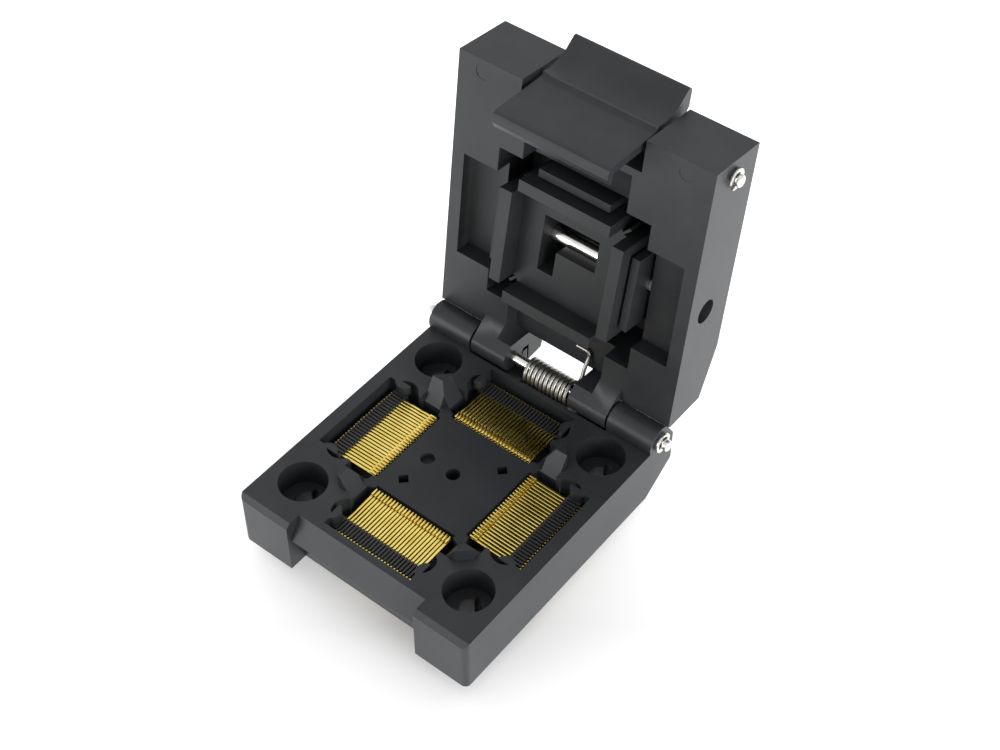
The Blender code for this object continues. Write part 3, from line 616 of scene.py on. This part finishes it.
for sign, side in ((-1, "Left"), (1, "Right")):
    low = side.lower()
    hingePlace = Vector((sign * eRing["hinge"], hinge["y"], hinge["z"])) * mm
    latchPlace = onLid(sign * eRing["latch"], eRing["latchOut"], eRing["latchIn"])
    makeRing("hingeRing" + side, "hinge_ring_" + low, "base", hingePlace, eRing["hingeTurn"])
    makeRing("latchRing" + side, "latch_ring_" + low, "lid", latchPlace, eRing["latchTurn"])
print("pins, screws and rings made")

# Floor, light and camera
view = {
    "azimuth": 38.44, "elevation": 47.67, "place": (92.3, -106.7, 180.95), "lens": 63.32,
    # floorGlow: the floor's glow rises from front to back, painted light that washes out the floor's shade
    # behind the socket
    "floorZ": -3.02, "floorColour": 0.89, "floorGlow": (0.0, 0.60), "glowFrom": (-0.016, 0.024),
    # floorSheen: a painted reflection, extra floor glow seen only in mirror rays, which lightens the sides
    # of the socket
    "floorSheen": 0.4,
    "side": {"place": (330, -70, 80), "size": 220, "power": 1.3},
    "fill": {"place": (-200, -370, 60), "size": 200, "power": 0.8},
    "world": 1.0, "aim": (0, 5, 12),
}


def seenRays(tree):
    path = tree.nodes.new("ShaderNodeLightPath")
    first = tree.nodes.new("ShaderNodeMath")
    first.operation = "MAXIMUM"
    tree.links.new(path.outputs["Is Camera Ray"], first.inputs[0])
    tree.links.new(path.outputs["Is Glossy Ray"], first.inputs[1])
    second = tree.nodes.new("ShaderNodeMath")
    second.operation = "MAXIMUM"
    tree.links.new(first.outputs[0], second.inputs[0])
    tree.links.new(path.outputs["Is Transmission Ray"], second.inputs[1])
    return second.outputs[0]


def makeFloor():
    bpy.ops.mesh.primitive_plane_add(size=4, location=(0, 0, view["floorZ"] * mm))
    floor = bpy.context.object
    floor.name = "floor"
    floorMat = bpy.data.materials.new("floorWhite")
    floorMat.use_nodes = True
    tree = floorMat.node_tree
    tree.nodes.clear()
    output = tree.nodes.new("ShaderNodeOutputMaterial")
    diffuse = tree.nodes.new("ShaderNodeBsdfDiffuse")
    shade = view["floorColour"]
    diffuse.inputs["Color"].default_value = (shade, shade, shade, 1)
    glow = tree.nodes.new("ShaderNodeEmission")
    glow.inputs["Color"].default_value = (1, 1, 1, 1)
    coords = tree.nodes.new("ShaderNodeTexCoord")
    # Painted light: the glow grows from front to back, so the floor's shade behind the socket turns white
    # and only the shade in front stays
    away = tree.nodes.new("ShaderNodeVectorMath")  # distance from the camera along the floor
    away.operation = "DOT_PRODUCT"
    turned = math.radians(view["azimuth"])
    away.inputs[1].default_value = (-math.sin(turned), math.cos(turned), 0)
    tree.links.new(coords.outputs["Object"], away.inputs[0])
    spread = tree.nodes.new("ShaderNodeMapRange")
    for socket, value in zip(("From Min", "From Max"), view["glowFrom"]):
        spread.inputs[socket].default_value = value
    for socket, value in zip(("To Min", "To Max"), view["floorGlow"]):
        spread.inputs[socket].default_value = value
    tree.links.new(away.outputs["Value"], spread.inputs["Value"])
    strength = tree.nodes.new("ShaderNodeMath")
    strength.operation = "MULTIPLY"
    tree.links.new(spread.outputs["Result"], strength.inputs[1])
    tree.links.new(seenRays(tree), strength.inputs[0])
    rays = tree.nodes.new("ShaderNodeLightPath")
    sheen = tree.nodes.new("ShaderNodeMath")  # painted reflection: the floor glows more in mirror rays only, so the sides of the socket that mirror it are lighter
    sheen.operation = "MULTIPLY_ADD"
    sheen.inputs[1].default_value = view["floorSheen"]
    tree.links.new(rays.outputs["Is Glossy Ray"], sheen.inputs[0])
    tree.links.new(strength.outputs["Value"], sheen.inputs[2])
    tree.links.new(sheen.outputs["Value"], glow.inputs["Strength"])
    both = tree.nodes.new("ShaderNodeAddShader")
    tree.links.new(diffuse.outputs[0], both.inputs[0])
    tree.links.new(glow.outputs[0], both.inputs[1])
    tree.links.new(both.outputs[0], output.inputs["Surface"])
    floor.data.materials.append(floorMat)


def makeSurroundings():
    world = bpy.data.worlds.new("studio")
    bpy.context.scene.world = world
    world.use_nodes = True
    tree = world.node_tree
    tree.nodes.clear()
    output = tree.nodes.new("ShaderNodeOutputWorld")
    dim = tree.nodes.new("ShaderNodeBackground")
    dim.inputs["Color"].default_value = (1, 1, 1, 1)
    dim.inputs["Strength"].default_value = view["world"]
    white = tree.nodes.new("ShaderNodeBackground")
    white.inputs["Color"].default_value = (1, 1, 1, 1)
    white.inputs["Strength"].default_value = 1
    mixed = tree.nodes.new("ShaderNodeMixShader")
    tree.links.new(seenRays(tree), mixed.inputs[0])
    tree.links.new(dim.outputs[0], mixed.inputs[1])
    tree.links.new(white.outputs[0], mixed.inputs[2])
    tree.links.new(mixed.outputs[0], output.inputs["Surface"])


def softLight(name):
    spec = view[name]
    bpy.ops.object.light_add(type="AREA", location=[v * mm for v in spec["place"]])
    lamp = bpy.context.object
    lamp.name = name + "Light"
    lamp.data.shape = "SQUARE"
    lamp.data.size = spec["size"] * mm
    lamp.data.energy = spec["power"]
    aim = Vector(view["aim"]) * mm - lamp.location
    lamp.rotation_euler = aim.to_track_quat("-Z", "Y").to_euler()


makeFloor()
makeSurroundings()
for lampName in ("side", "fill"):
    softLight(lampName)
bpy.ops.object.camera_add(location=[v * mm for v in view["place"]])
camera = bpy.context.object
camera.rotation_euler = (math.radians(90 - view["elevation"]), 0, math.radians(view["azimuth"]))
camera.data.lens = view["lens"]
camera.data.sensor_width = 36
camera.data.clip_start = 0.01
camera.data.clip_end = 20
bpy.context.scene.camera = camera
bpy.context.scene.view_settings.view_transform = "Standard"
print("studio ready")
